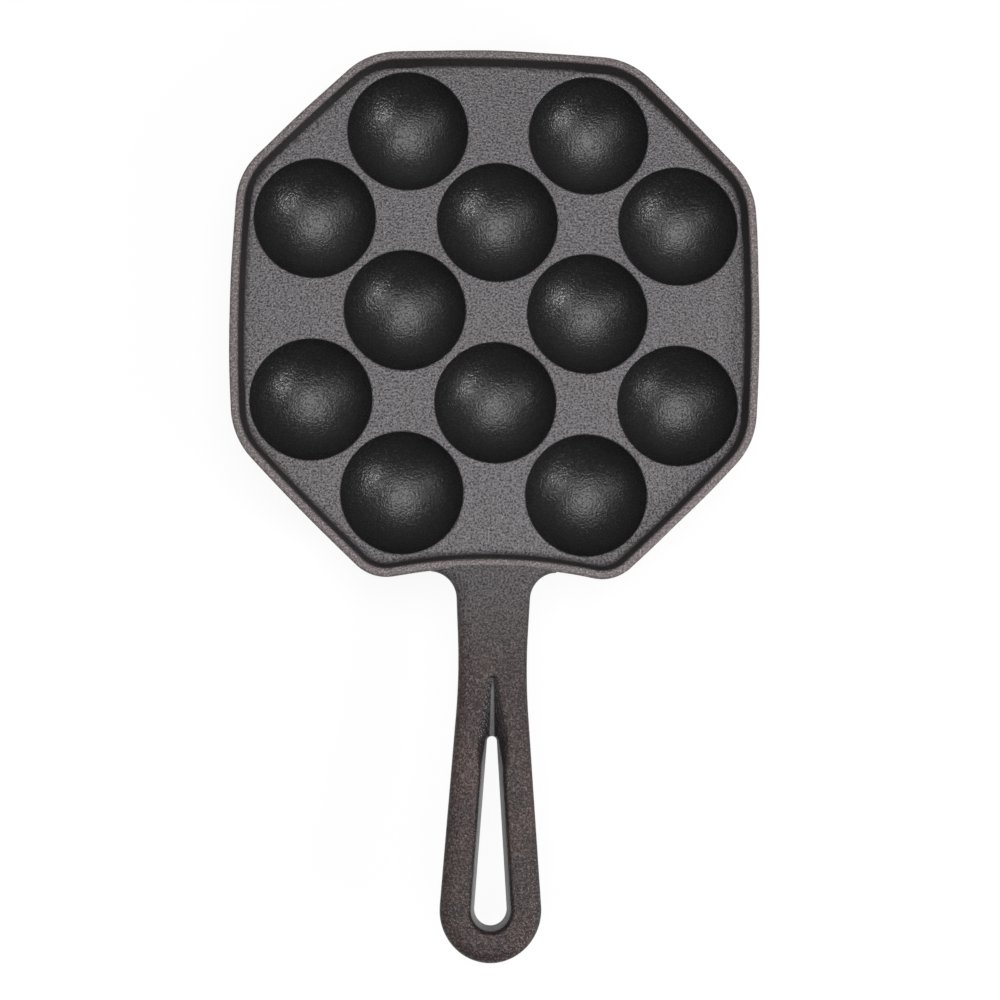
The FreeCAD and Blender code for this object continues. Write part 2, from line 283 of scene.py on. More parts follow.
def circles_meet(
    first: Array, reach: float, second: Array, other: float, guess: Array
) -> Array:
    """Where two circles meet, nearest to a guess.

    The crossing lies (gap^2 + reach^2 - other^2) / (2 gap) along the line of centres, and off that line
    by Pythagoras.

    Args:
        first: one centre.
        reach: its circle's radius.
        second: the other centre.
        other: its circle's radius.
        guess: a place near the crossing that is wanted.

    Returns:
        The point in plan.
    """
    gap = np.linalg.norm(second - first)
    ahead = (second - first) / gap
    along = (gap**2 + reach**2 - other**2) / (2 * gap)
    off = math.sqrt(reach**2 - along**2) * np.array([-ahead[1], ahead[0]])
    found = (first + ahead * along + off, first + ahead * along - off)
    return min(found, key=lambda place: float(np.linalg.norm(place - guess)))


def distance_to_line(points: Array, line: Array) -> Array:
    """The least distance in plan from each point to a chain of short straight runs.

    The foot of the perpendicular on each run is held between the run's ends, and the nearest one counts.

    Args:
        points: any shape by 2.
        line: corners by 2.

    Returns:
        One distance for each point.
    """
    flat = points.reshape(-1, 2)
    start, run = line[:-1], np.diff(line, axis=0)
    length_squared = (run**2).sum(axis=1)
    best = np.full(len(flat), np.inf)
    for block in np.array_split(np.arange(len(flat)), max(1, len(flat) // BLOCK_POINTS)):
        gap = flat[block, None, :] - start[None]
        along = np.clip((gap * run[None]).sum(axis=2) / length_squared, 0, 1)
        off = gap - along[..., None] * run[None]
        best[block] = np.sqrt((off**2).sum(axis=2)).min(axis=1)
    return best.reshape(points.shape[:-1])


# The plan of the plate


@dataclass
class OctagonPlan:
    """The plate's outer edge at the top of the rim, as points with normals that point outwards.

    Seven sides bow out a little, and the side at the handle bows in.
    """

    side_reach: float = 105.1
    diagonal_reach: float = 110.7
    side_bow_radius: float = 675.0
    diagonal_bow_radius: float = 1000.0
    corner_radius: float = 31.0
    handle_side_reach: float = 102.4
    handle_side_radius: float = 200.0
    handle_corner_radius: float = 17.0
    corner_count: int = 26
    side_count: int = 90
    diagonal_count: int = 48
    points: Array = field(init=False)
    normals: Array = field(init=False)

    def __post_init__(self) -> None:
        """Sample the sixteen arcs of the plan, one after the other."""
        runs = [run for turn in (0, 90, 180, 270) for run in self._quarter(turn)]
        self.points = np.concatenate([points[:-1] for points, _ in runs])
        self.normals = np.concatenate([normals[:-1] for _, normals in runs])

    def _quarter(self, turn: int) -> list:
        """The arcs of one cardinal side, its two corners, and the diagonal side that follows it.

        Args:
            turn: the side's heading from +X, in degrees.

        Returns:
            Four pairs of points and normals.
        """
        centre = self._side(turn)[0]
        towards = -1.0 if turn == HANDLE_TURN else 1.0
        first, last = self._corner(turn, -45), self._corner(turn, 45)
        following = self._corner((turn + 90) % 360, -45)
        diagonal = self._diagonal_centre(turn + 45)
        return [
            self._arc(*first, self.corner_count),
            self._arc(centre, first[2], last[2], self.side_count, towards),
            self._arc(last[0], last[2], last[1], self.corner_count),
            self._arc(diagonal, last[1], following[1], self.diagonal_count),
        ]

    def _side(self, turn: int) -> tuple:
        """The circles that a cardinal side and its corners follow.

        Args:
            turn: the side's heading from +X, in degrees.

        Returns:
            The centre and the radius of the side's bow, and its corners' radius.
        """
        direction = self._heading(turn)
        if turn == HANDLE_TURN:
            reach = self.handle_side_reach + self.handle_side_radius
            return direction * reach, self.handle_side_radius, self.handle_corner_radius
        return direction * (self.side_reach - self.side_bow_radius), self.side_bow_radius, self.corner_radius

    def _diagonal_centre(self, turn: int) -> Array:
        """The centre of a diagonal side's bow."""
        return self._heading(turn) * (self.diagonal_reach - self.diagonal_bow_radius)

    def _corner(self, turn: int, step: int) -> tuple:
        """The corner between a cardinal side and the diagonal that faces 45 degrees before or after it.

        Its centre lies one corner radius off both bows, where two circles about the bows' centres meet.

        Args:
            turn: the cardinal side's heading from +X, in degrees.
            step: 45 or -45, from that heading to the diagonal's.

        Returns:
            The corner's centre, where it touches the diagonal, and where it touches the side.
        """
        centre, bow, radius = self._side(turn)
        to_side = bow + radius if turn == HANDLE_TURN else bow - radius
        diagonal = self._diagonal_centre(turn + step)
        guess = self._heading(turn + step / 2) * self.side_reach
        middle = circles_meet(diagonal, self.diagonal_bow_radius - radius, centre, to_side, guess)
        on_diagonal = diagonal + unit(middle - diagonal) * self.diagonal_bow_radius
        return middle, on_diagonal, centre + unit(middle - centre) * bow

    @staticmethod
    def _arc(centre: Array, start: Array, end: Array, count: int, sign: float = 1.0) -> tuple:
        """An arc's points, and their normals away from its centre or, with sign -1, towards it."""
        points = arc_points(centre, start, end, count)
        return points, unit((points - centre) * sign)

    @staticmethod
    def _heading(degrees: float) -> Array:
        """The unit vector at an angle from +X."""
        return np.array([math.cos(math.radians(degrees)), math.sin(math.radians(degrees))])

    def inset(self, offset: Value) -> Array:
        """The plan moved inwards along its normals."""
        return self.points - self.normals * np.broadcast_to(offset, (len(self.points),))[:, None]


@dataclass
class CupPattern:
    """Where the cups lie, on every second place of a five by five chequerboard, and the sizes they share."""

    half_pitch: float = 36.5
    mouth_radius: float = 24.25
    depth: float = 22.5
    wall: float = 4.0
    lip_radius: float = 0.8
    root_fillet: float = 1.5
    foot_z: float = FLOOR_Z
    open_reach: float = 400.0
    columns: int = 240

    @property
    def bowl_radius(self) -> float:
        """The sphere through the mouth and the bottom."""
        return (self.mouth_radius**2 + self.depth**2) / (2 * self.depth)

    @property
    def centre_z(self) -> float:
        """The height of that sphere's centre."""
        return self.bowl_radius - self.depth

    @property
    def lip_reach(self) -> float:
        """How far from the cup's axis its rolled lip meets the plate's face."""
        return math.sqrt((self.bowl_radius + self.lip_radius) ** 2 - (self.centre_z + self.lip_radius) ** 2)

    def angles(self) -> Array:
        """The directions of a cup's grid columns."""
        return np.arange(self.columns) * (2 * np.pi / self.columns)

    def places(self) -> list:
        """Every cup's name and centre, row by row.

        Returns:
            A name and a centre in plan for each cup.
        """
        return [
            (f"cup_{row.name}_{column.name}".lower(), np.array([column.value, row.value]) * self.half_pitch)
            for row, column in product(CupRow, CupColumn)
            if (row.value + column.value) % 2
        ]

    def half_way(self, centre: Array) -> Array:
        """How far the ground of one cup reaches in each direction before it is half-way to another cup.

        Towards a neighbour at distance d and bearing b, a ray at angle a meets the half-way line
        at d / 2 / cos(a - b). Where no cup is in the way, the reach is open_reach.

        Args:
            centre: the cup's centre.

        Returns:
            One reach for each of its grid columns.
        """
        reach = np.full(self.columns, self.open_reach)
        gaps = [other - centre for _, other in self.places()]
        for gap in filter(np.any, gaps):
            facing = np.cos(self.angles() - math.atan2(gap[1], gap[0]))
            ahead = facing > 1e-3
            reach[ahead] = np.minimum(reach[ahead], np.linalg.norm(gap) / 2 / facing[ahead])
        return reach

    def turned(self, centre: Array, radius: Array, z: Array) -> Array:
        """A profile turned about a cup's axis: its points lie at centre + radius * ray.

        Args:
            centre: the cup's centre.
            radius: one for each row, or rows by columns.
            z: one height for each row.

        Returns:
            Rows by columns by 3.
        """
        rays = np.stack([np.cos(self.angles()), np.sin(self.angles())], axis=1)
        return raised(centre + radius.reshape(len(z), -1, 1) * rays, z[:, None])


# Shaders


def sum_of(operation: str, number_first: bool = False) -> Callable:
    """A Sock's method for a sum with another Sock or with a number.

    Args:
        operation: the Math node's operation.
        number_first: True where a number comes before the Sock.

    Returns:
        The method.
    """

    def method(sock: "Sock", other: Union["Sock", float]) -> "Sock":
        """Add the Math node."""
        pair = (other, sock) if number_first else (sock, other)
        return sock.bench.node("ShaderNodeMath", {"operation": operation}, dict(enumerate(pair)))

    return method


@dataclass(frozen=True)
class Sock:
    """One output of a shader node, so that sums on sockets read as sums."""

    bench: "NodeBench"
    output: bpy.types.NodeSocket

    __add__, __radd__ = sum_of("ADD"), sum_of("ADD", number_first=True)
    __sub__, __rsub__ = sum_of("SUBTRACT"), sum_of("SUBTRACT", number_first=True)
    __mul__, __rmul__ = sum_of("MULTIPLY"), sum_of("MULTIPLY", number_first=True)

    def clamped(self) -> "Sock":
        """The value held between 0 and 1."""
        return self.bench.node("ShaderNodeClamp", {}, {"Value": self, "Min": 0.0, "Max": 1.0})


Feed = Union[Sock, float, Sequence[float]]


@dataclass
class NodeBench:
    """One material's node tree, and the one way in which its nodes are made."""

    material: bpy.types.Material

    @classmethod
    def named(cls, name: str) -> "NodeBench":
        """A bench on a new, empty material.

        Args:
            name: the material's name.

        Returns:
            The bench.
        """
        material = bpy.data.materials.new(name)
        material.use_nodes = True
        material.node_tree.nodes.clear()
        return cls(material)

    def node(self, kind: str, settings: dict, feeds: dict, output: Union[int, str] = 0) -> Sock:
        """Add a node, set it, and feed its sockets.

        Args:
            kind: the node's type.
            settings: its properties.
            feeds: a value or a Sock for each socket, by name or number.
            output: the output that is returned.

        Returns:
            The chosen output.
        """
        made = self.material.node_tree.nodes.new(kind)
        for key, value in settings.items():
            setattr(made, key, value)
        for key, value in feeds.items():
            if isinstance(value, Sock):
                self.material.node_tree.links.new(value.output, made.inputs[key])
            else:
                made.inputs[key].default_value = value
        return Sock(self, made.outputs[output])

    def finish(self, surface: Sock) -> bpy.types.Material:
        """Link a shader to the material's surface.

        Args:
            surface: the shader.

        Returns:
            The finished material.
        """
        output = self.material.node_tree.nodes.new("ShaderNodeOutputMaterial")
        self.material.node_tree.links.new(surface.output, output.inputs["Surface"])
        return self.material

    def ramp(self, value: Sock, low: float, high: float) -> Sock:
        """A straight ramp from 0 at low to 1 at high, held at both ends."""
        feeds = {"Value": value, "From Min": low, "From Max": high}
        return self.node("ShaderNodeMapRange", {"clamp": True}, feeds)

    def mix(self, factor: Feed, first: Feed, second: Feed) -> Sock:
        """Mix two colours. They are the node's sockets 6 and 7, and its output 2."""
        return self.node("ShaderNodeMix", {"data_type": "RGBA"}, {0: factor, 6: first, 7: second}, 2)

    def attribute(self, name: str) -> Sock:
        """A number that the mesh carries on its points."""
        return self.node("ShaderNodeAttribute", {"attribute_name": name}, {}, "Fac")

    def noise(self, place: Sock, millimetres: float, detail: float, roughness: float, warp: float) -> Sock:
        """Noise whose features are about the given number of millimetres across.

        Args:
            place: the coordinates that it reads.
            millimetres: the features' size.
            detail: how many finer layers lie on it.
            roughness: how strong they are.
            warp: how far it is bent.

        Returns:
            The noise, from 0 to 1.
        """
        feeds = {
            "Vector": place,
            "Scale": 1.0 / (millimetres * MM),
            "Detail": detail,
            "Roughness": roughness,
            "Distortion": warp,
        }
        return self.node("ShaderNodeTexNoise", {}, feeds, "Fac")


@dataclass(frozen=True)
class SeasonedIron:
    """Sand-cast iron under baked-on oil, with an orange-peel grain of pits and crests.

    It is black where seasoned and where painted shade lies in pits, bowls, recesses and on rounded edges,
    brown where it is held, and bare where rubbed. It is grey where ground and where a painted reflection
    of the white floor lies on the slot's wall, and its crests carry painted glints as well as wear. The
    noises are the grain, its fine part, the swell, the patches and the spots, each given by its features'
    size in millimetres, its detail, its roughness and its warp. Heights are in metres.
    """

    name: str
    plain: tuple = (0.057, 0.051, 0.057, 1.0)
    black: tuple = (0.0085, 0.008, 0.0083, 1.0)
    brown: tuple = (0.019, 0.0122, 0.0114, 1.0)
    # Grey for ground iron, and for the painted reflection of the white floor on the slot's wall.
    ground_grey: tuple = (0.115, 0.113, 0.113, 1.0)
    # Light on the grain's crests: painted glints, and wear.
    crest: tuple = (0.25, 0.225, 0.225, 1.0)
    bare: tuple = (0.122, 0.098, 0.098, 1.0)
    rust: tuple = (0.052, 0.028, 0.023, 1.0)
    crest_share: float = 0.26
    rubbed_crest_share: float = 0.35
    # Painted shade in the grain's pits.
    pit_share: float = 0.85
    bare_share: float = 0.6
    rust_share: float = 0.10
    brown_rust_share: float = 0.55
    crest_band: tuple = (0.66, 0.84)
    pit_band: tuple = (0.62, 0.48)
    rust_band: tuple = (0.62, 0.86)
    noises: tuple = (
        (0.86, 1.5, 0.45, 0.30),
        (0.50, 2.0, 0.5, 0.0),
        (9.0, 2.0, 0.5, 0.0),
        (26.0, 3.0, 0.55, 0.0),
        (3.4, 2.0, 0.6, 0.0),
    )
    grain_height: float = 0.00058
    fine_height: float = 0.00012
    swell_height: float = 0.00030
    fine_share: float = 0.30
    spot_share: float = 0.4
    ground_flatness: float = 0.75
    seasoned_flatness: float = 0.5
    roughness: float = 0.36
    hollow_roughness: float = 0.27
    spot_roughness: float = 0.10
    pit_roughness: float = 0.36
    specular: float = 0.58

    def build(self) -> bpy.types.Material:
        """Make the material.

        Returns:
            A material that reads Object coordinates and the points' marks.
        """
        bench = NodeBench.named(self.name)
        place = bench.node("ShaderNodeTexCoord", {}, {}, "Object")
        seasoned, browned, rubbed, ground = (bench.attribute(name) for name in MARK_NAMES)
        grain, fine, swell, patches, spots = (bench.noise(place, *noise) for noise in self.noises)
        peel = grain * self.grain_height + fine * self.fine_height
        peel = peel * (1 - self.ground_flatness * ground) * (1 - self.seasoned_flatness * seasoned)
        height = peel + swell * self.swell_height
        bumped = bench.node("ShaderNodeBump", {}, {"Distance": 1.0, "Height": height}, "Normal")
        speckle = grain + self.fine_share * fine
        crests = bench.ramp(speckle, *self.crest_band)
        pits = bench.ramp(speckle, *self.pit_band)
        rusty = bench.ramp(patches + self.spot_share * spots, *self.rust_band)
        rust_factor = rusty * (self.rust_share + self.brown_rust_share * browned)
        # Painted glints on the grain's crests, stronger where rubbed.
        lit = crests * (self.crest_share + self.rubbed_crest_share * rubbed) * (1 - seasoned)
        colour = bench.mix(browned, self.plain, self.brown)
        colour = bench.mix(rust_factor, colour, self.rust)
        # Painted shade darkens the grain's pits.
        colour = bench.mix((self.pit_share * pits * (1 - seasoned)).clamped(), colour, self.black)
        colour = bench.mix((self.bare_share * rubbed).clamped(), colour, self.bare)
        colour = bench.mix(lit.clamped(), colour, self.crest)
        # Grey where ground, and a painted reflection of the white floor on the slot's wall.
        colour = bench.mix(ground, colour, self.ground_grey)
        # Black from seasoning, and painted shade in the bowls, recesses and on rounded edges.
        colour = bench.mix(seasoned, colour, self.black)
        rough = self.roughness + self.spot_roughness * (spots - 0.5)
        rough = rough + (self.hollow_roughness - self.roughness) * seasoned
        rough = rough + self.pit_roughness * pits * (1 - ground)
        feeds = {
            "Base Color": colour,
            "Roughness": rough.clamped(),
            "Metallic": 0.0,
            "IOR": 1.5,
            "Specular IOR Level": self.specular,
            "Normal": bumped,
        }
        return bench.finish(bench.node("ShaderNodeBsdfPrincipled", {}, feeds, "BSDF"))


# The pan's regions


@dataclass
class GriddleWeb:
    """The plate between the cups: flat iron round each mouth, the rolled lips, and the top of every bowl."""

    plan: OctagonPlan
    cups: CupPattern
    border_offset: float = 5.7
    face_shares: tuple = (0.0, 0.2, 0.4, 0.6, 0.8, 0.93, 1.0)
    bowl_count: int = 9
    # Depths over which the bowl turns black, with seasoning and painted shade.
    blackening: tuple = (0.05, 0.9)
    crisp: float = 60.0

    def build(self, iron: bpy.types.Material) -> bpy.types.Object:
        """Make the plate as twelve patches, one about each cup, welded along the half-way lines.

        A patch's points lie on rays from the cup's axis, from the half-way line inwards to the lip,
        round the lip's arc, and down the bowl's sphere to the plate's underside.

        Args:
            iron: the finish.

        Returns:
            The plate.
        """
        skin = SkinBuilder()
        for _, centre in self.cups.places():
            self._add_patch(skin, centre)
        return skin.dress("griddle_plate_skin", iron, "plate_iron", "griddle_plate", crisp=self.crisp)

    def _reach(self, centre: Array) -> tuple:
        """How far a cup's patch of plate reaches along each ray.

        Args:
            centre: the cup's centre.

        Returns:
            The reaches, and True for each ray that ends at the plate's border.
        """
        border = self.plan.inset(self.border_offset) - centre
        bearing = np.arctan2(border[:, 1], border[:, 0])
        order = np.argsort(bearing)
        radius = np.linalg.norm(border, axis=1)[order]
        to_border = np.interp(self.cups.angles(), bearing[order], radius, period=2 * np.pi)
        half_way = self.cups.half_way(centre)
        return np.minimum(to_border, half_way), to_border < half_way

    def _add_patch(self, skin: SkinBuilder, centre: Array) -> None:
        """Add one cup's patch of plate: its face, lip and bowl, its underside, and its outer edge.

        Args:
            skin: takes the patch.
            centre: the cup's centre.
        """
        cups = self.cups
        reach, at_border = self._reach(centre)
        shares = np.array(self.face_shares)[:, None]
        face_radius = reach * (1 - shares) + cups.lip_reach * shares
        lip_end = math.atan2(cups.lip_reach, cups.centre_z + cups.lip_radius)
        lip_turn = np.linspace(0, lip_end, ARC_STEPS)[1:]
        lip_radius = cups.lip_reach - cups.lip_radius * np.sin(lip_turn)
        lip_z = -cups.lip_radius + cups.lip_radius * np.cos(lip_turn)
        bowl_z = np.linspace(lip_z[-1], UNDERSIDE_Z, self.bowl_count)[1:]
        bowl_radius = np.sqrt(cups.bowl_radius**2 - (bowl_z - cups.centre_z) ** 2)
        inner_radius = np.concatenate([lip_radius, bowl_radius])
        radius = np.concatenate([face_radius, np.repeat(inner_radius[:, None], cups.columns, axis=1)])
        z = np.concatenate([np.zeros(len(shares)), lip_z, bowl_z])
        # The bowl darkens below the plate's face: seasoning and painted shade.
        black = smooth_step(*self.blackening, -z)[:, None]
        skin.add_grid(cups.turned(centre, radius, z), Marks(seasoned=black), wrap=True, flip=True)
        under = np.stack([reach, np.full(cups.columns, bowl_radius[-1])])
        underside = cups.turned(centre, under, np.full(2, UNDERSIDE_Z))
        # Darker underneath and on the edge: seasoning and painted shade.
        skin.add_grid(underside, Marks(seasoned=0.5), wrap=True)
        edge = cups.turned(centre, np.stack([reach, reach]), np.array([0.0, UNDERSIDE_Z]))
        both = at_border & np.roll(at_border, -1)
        skin.add_grid(edge, Marks(seasoned=0.3), wrap=True, keep=both[None])


@dataclass
class Cup:
    """One round cup below the plate, hollow, with a flat foot and a fillet where it leaves the plate."""

    name: str
    centre: Array
    cups: CupPattern
    inside_count: int = 26
    shell_count: int = 34
    foot_shares: tuple = (0.95, 0.6, 0.3, 0.0)
    bottom_band: tuple = (-14.0, -22.4)
    bottom_wear: float = 0.10
    foot_band: tuple = (-22.0, -25.6)
    foot_wear: float = 0.5

    def build(self, iron: bpy.types.Material) -> bpy.types.Object:
        """Make the cup from two profiles turned about its axis.

        The inside is a sphere's lower part. The outside is a concentric sphere with a flat foot below
        and a small fillet above, and it stops half-way to each neighbour.

        Args:
            iron: the finish.

        Returns:
            The cup.
        """
        cups = self.cups
        skin = SkinBuilder()
        start = math.acos((cups.centre_z - UNDERSIDE_Z) / cups.bowl_radius)
        polar = np.linspace(start, 0.0, self.inside_count)
        inside_z = cups.centre_z - cups.bowl_radius * np.cos(polar)
        inside = cups.turned(self.centre, cups.bowl_radius * np.sin(polar), inside_z)
        worn = self.bottom_wear * smooth_step(*self.bottom_band, inside_z)[:, None]
        # Black inside: seasoning and painted shade.
        skin.add_grid(inside, Marks(seasoned=1.0 - worn), wrap=True, flip=True)
        outside_radius, outside_z = self._outer_profile()
        outside = cups.turned(self.centre, outside_radius, outside_z)
        flat = outside[..., :2] - self.centre
        length = np.maximum(np.linalg.norm(flat, axis=2), 1e-6)
        squeeze = np.minimum(1.0, cups.half_way(self.centre)[None] / length)
        outside[..., :2] = self.centre + flat * squeeze[..., None]
        rubbed = smooth_step(*self.foot_band, outside_z)[:, None] * self.foot_wear
        # Outside and underneath, seasoning and painted shade darken it.
        skin.add_grid(outside, Marks(seasoned=0.62, rubbed=rubbed), wrap=True)
        skin.add_grid(np.stack([inside[0], outside[0]]), Marks(seasoned=0.8), wrap=True)
        return skin.dress(f"{self.name}_skin", iron, "cup_iron", self.name)

    def _outer_profile(self) -> tuple:
        """The outside's profile, from the plate's underside down to the middle of the foot.

        Returns:
            Its radii and its heights.
        """
        cups = self.cups
        shell = cups.bowl_radius + cups.wall
        drop = cups.centre_z - UNDERSIDE_Z + cups.root_fillet
        root = math.sqrt((shell + cups.root_fillet) ** 2 - drop**2)
        fillet_z = UNDERSIDE_Z - cups.root_fillet
        towards = math.atan2(cups.centre_z - fillet_z, -root)
        turn = np.linspace(math.pi / 2, towards, ARC_STEPS)
        fillet_radius = root + cups.root_fillet * np.cos(turn)
        fillet_height = fillet_z + cups.root_fillet * np.sin(turn)
        first = math.atan2(fillet_radius[-1], cups.centre_z - fillet_height[-1])
        last = math.acos((cups.centre_z - cups.foot_z) / shell)
        polar = np.linspace(first, last, self.shell_count)[1:]
        shell_radius = shell * np.sin(polar)
        foot = np.array(self.foot_shares) * shell_radius[-1]
        radius = np.concatenate([fillet_radius, shell_radius, foot])
        shell_z = cups.centre_z - shell * np.cos(polar)
        return radius, np.concatenate([fillet_height, shell_z, np.full(len(foot), cups.foot_z)])


@dataclass
class Rim:
    """The raised wall round the plate, with a cove at its foot and softened edges."""

    plan: OctagonPlan
    cups: CupPattern
    width: float = 3.6
    foot_offset: float = 5.6
    edge_radius: float = 1.3
    cove_radius: float = 2.2
    least_cove: float = 0.7
    lip_gap: float = 0.05
    outer_draft: float = 1.6
    under_radius: float = 0.8
    tuck: float = 0.85
    tuck_rise: float = 0.06
    face_dip: float = 0.02
    sway: float = 0.16
    sway_mm: float = 38.0
    sway_seed: int = 5
    sway_band: tuple = (3.4, 1.4)

    def build(self, iron: bpy.types.Material) -> bpy.types.Object:
        """Carry the rim's section along the octagon.

        Each point is the plan's point, moved inwards along the normal by the section's offset
        and up to its height. The cove shrinks where a cup's lip comes close to the wall's foot.

        Args:
            iron: the finish.

        Returns:
            The rim.
        """
        section, marks = self._section()
        offset, height = section[..., :1], section[..., 1]
        grid = raised(self.plan.points[None] - self.plan.normals[None] * offset, height)
        outside = smooth_step(*self.sway_band, offset)
        wave = ripple(grid, self.sway_mm, self.sway_seed)[..., None]
        grid[..., :2] += self.plan.normals[None] * wave * self.sway * outside
        closed = {name: np.append(values, values[0])[:, None] for name, values in marks.items()}
        skin = SkinBuilder()
        skin.add_grid(np.concatenate([grid, grid[:1]]), Marks(**closed), wrap=True, flip=True)
        return skin.dress("rim_skin", iron, "edge_iron", "rim")

    def _cove(self) -> Array:
        """The cove's radius, which is as large as the nearest lip leaves room for.

        Returns:
            One radius for each point of the plan.
        """
        foot = self.plan.inset(self.foot_offset)
        gaps = [np.linalg.norm(foot - centre, axis=1) for _, centre in self.cups.places()]
        room = np.min(gaps, axis=0) - self.cups.lip_reach - self.lip_gap
        reach = math.tan(math.pi / 4 - math.atan2(self.foot_offset - self.width, RIM_TOP_Z) / 2)
        return np.clip(room / reach, self.least_cove, self.cove_radius)

    def _section(self) -> tuple:
        """The rim's closed section at every point of the plan.

        It runs up the cove and the inner wall, over the top, down the outer wall and back underneath,
        and each corner is an arc of radius 1 times the corner's own radius. Underneath it rises a
        little on its way in, so that it passes inside the plate and shares no plane with it.

        Returns:
            Offsets and heights, section by plan by 2, and the marks along the section.
        """
        plate, foot = (self.foot_offset * 2, 0.0), (self.foot_offset, 0.0)
        inner_top, outer_top = (self.width, RIM_TOP_Z), (0.0, RIM_TOP_Z)
        outer_foot = (self.outer_draft, UNDERSIDE_Z)
        back = (self.foot_offset + self.tuck, UNDERSIDE_Z + self.tuck_rise)
        corners = [
            (plate, foot, inner_top, self._cove()),
            (foot, inner_top, outer_top, self.edge_radius),
            (inner_top, outer_top, outer_foot, self.edge_radius),
            (outer_top, outer_foot, back, self.under_radius),
        ]
        columns = len(self.plan.points)
        rows = []
        for before, corner, after, radius in corners:
            arc = corner_arc(before, corner, after, ARC_STEPS)[:, None]
            rows.append(np.add(corner, arc * np.broadcast_to(radius, (columns,))[None, :, None]))
        rows.append(np.broadcast_to(back, (1, columns, 2)))
        section = np.concatenate(rows)
        section[0, :, 1] -= self.face_dip
        even = np.full(ARC_STEPS, 1.0)
        slope = np.linspace(0.0, 1.0, ARC_STEPS)
        marks = {
            # Painted shade darkens the upper cove and the inner wall; the outer wall and the underside
            # darken with seasoning and painted shade.
            "seasoned": [0.85 * slope**2.5, 0.85 * (1 - slope) ** 2, 0.25 * slope**2, 0.5 * even, [0.6]],
            "browned": [0.2 * even, 0.2 + 0.3 * slope, 0.5 * even, 0.5 * even, [0.5]],
            "rubbed": [0.0 * even, slope**0.5, 1 - 0.8 * slope**2, 0.1 * even, [0.0]],
        }
        return section, {name: np.concatenate(values) for name, values in marks.items()}


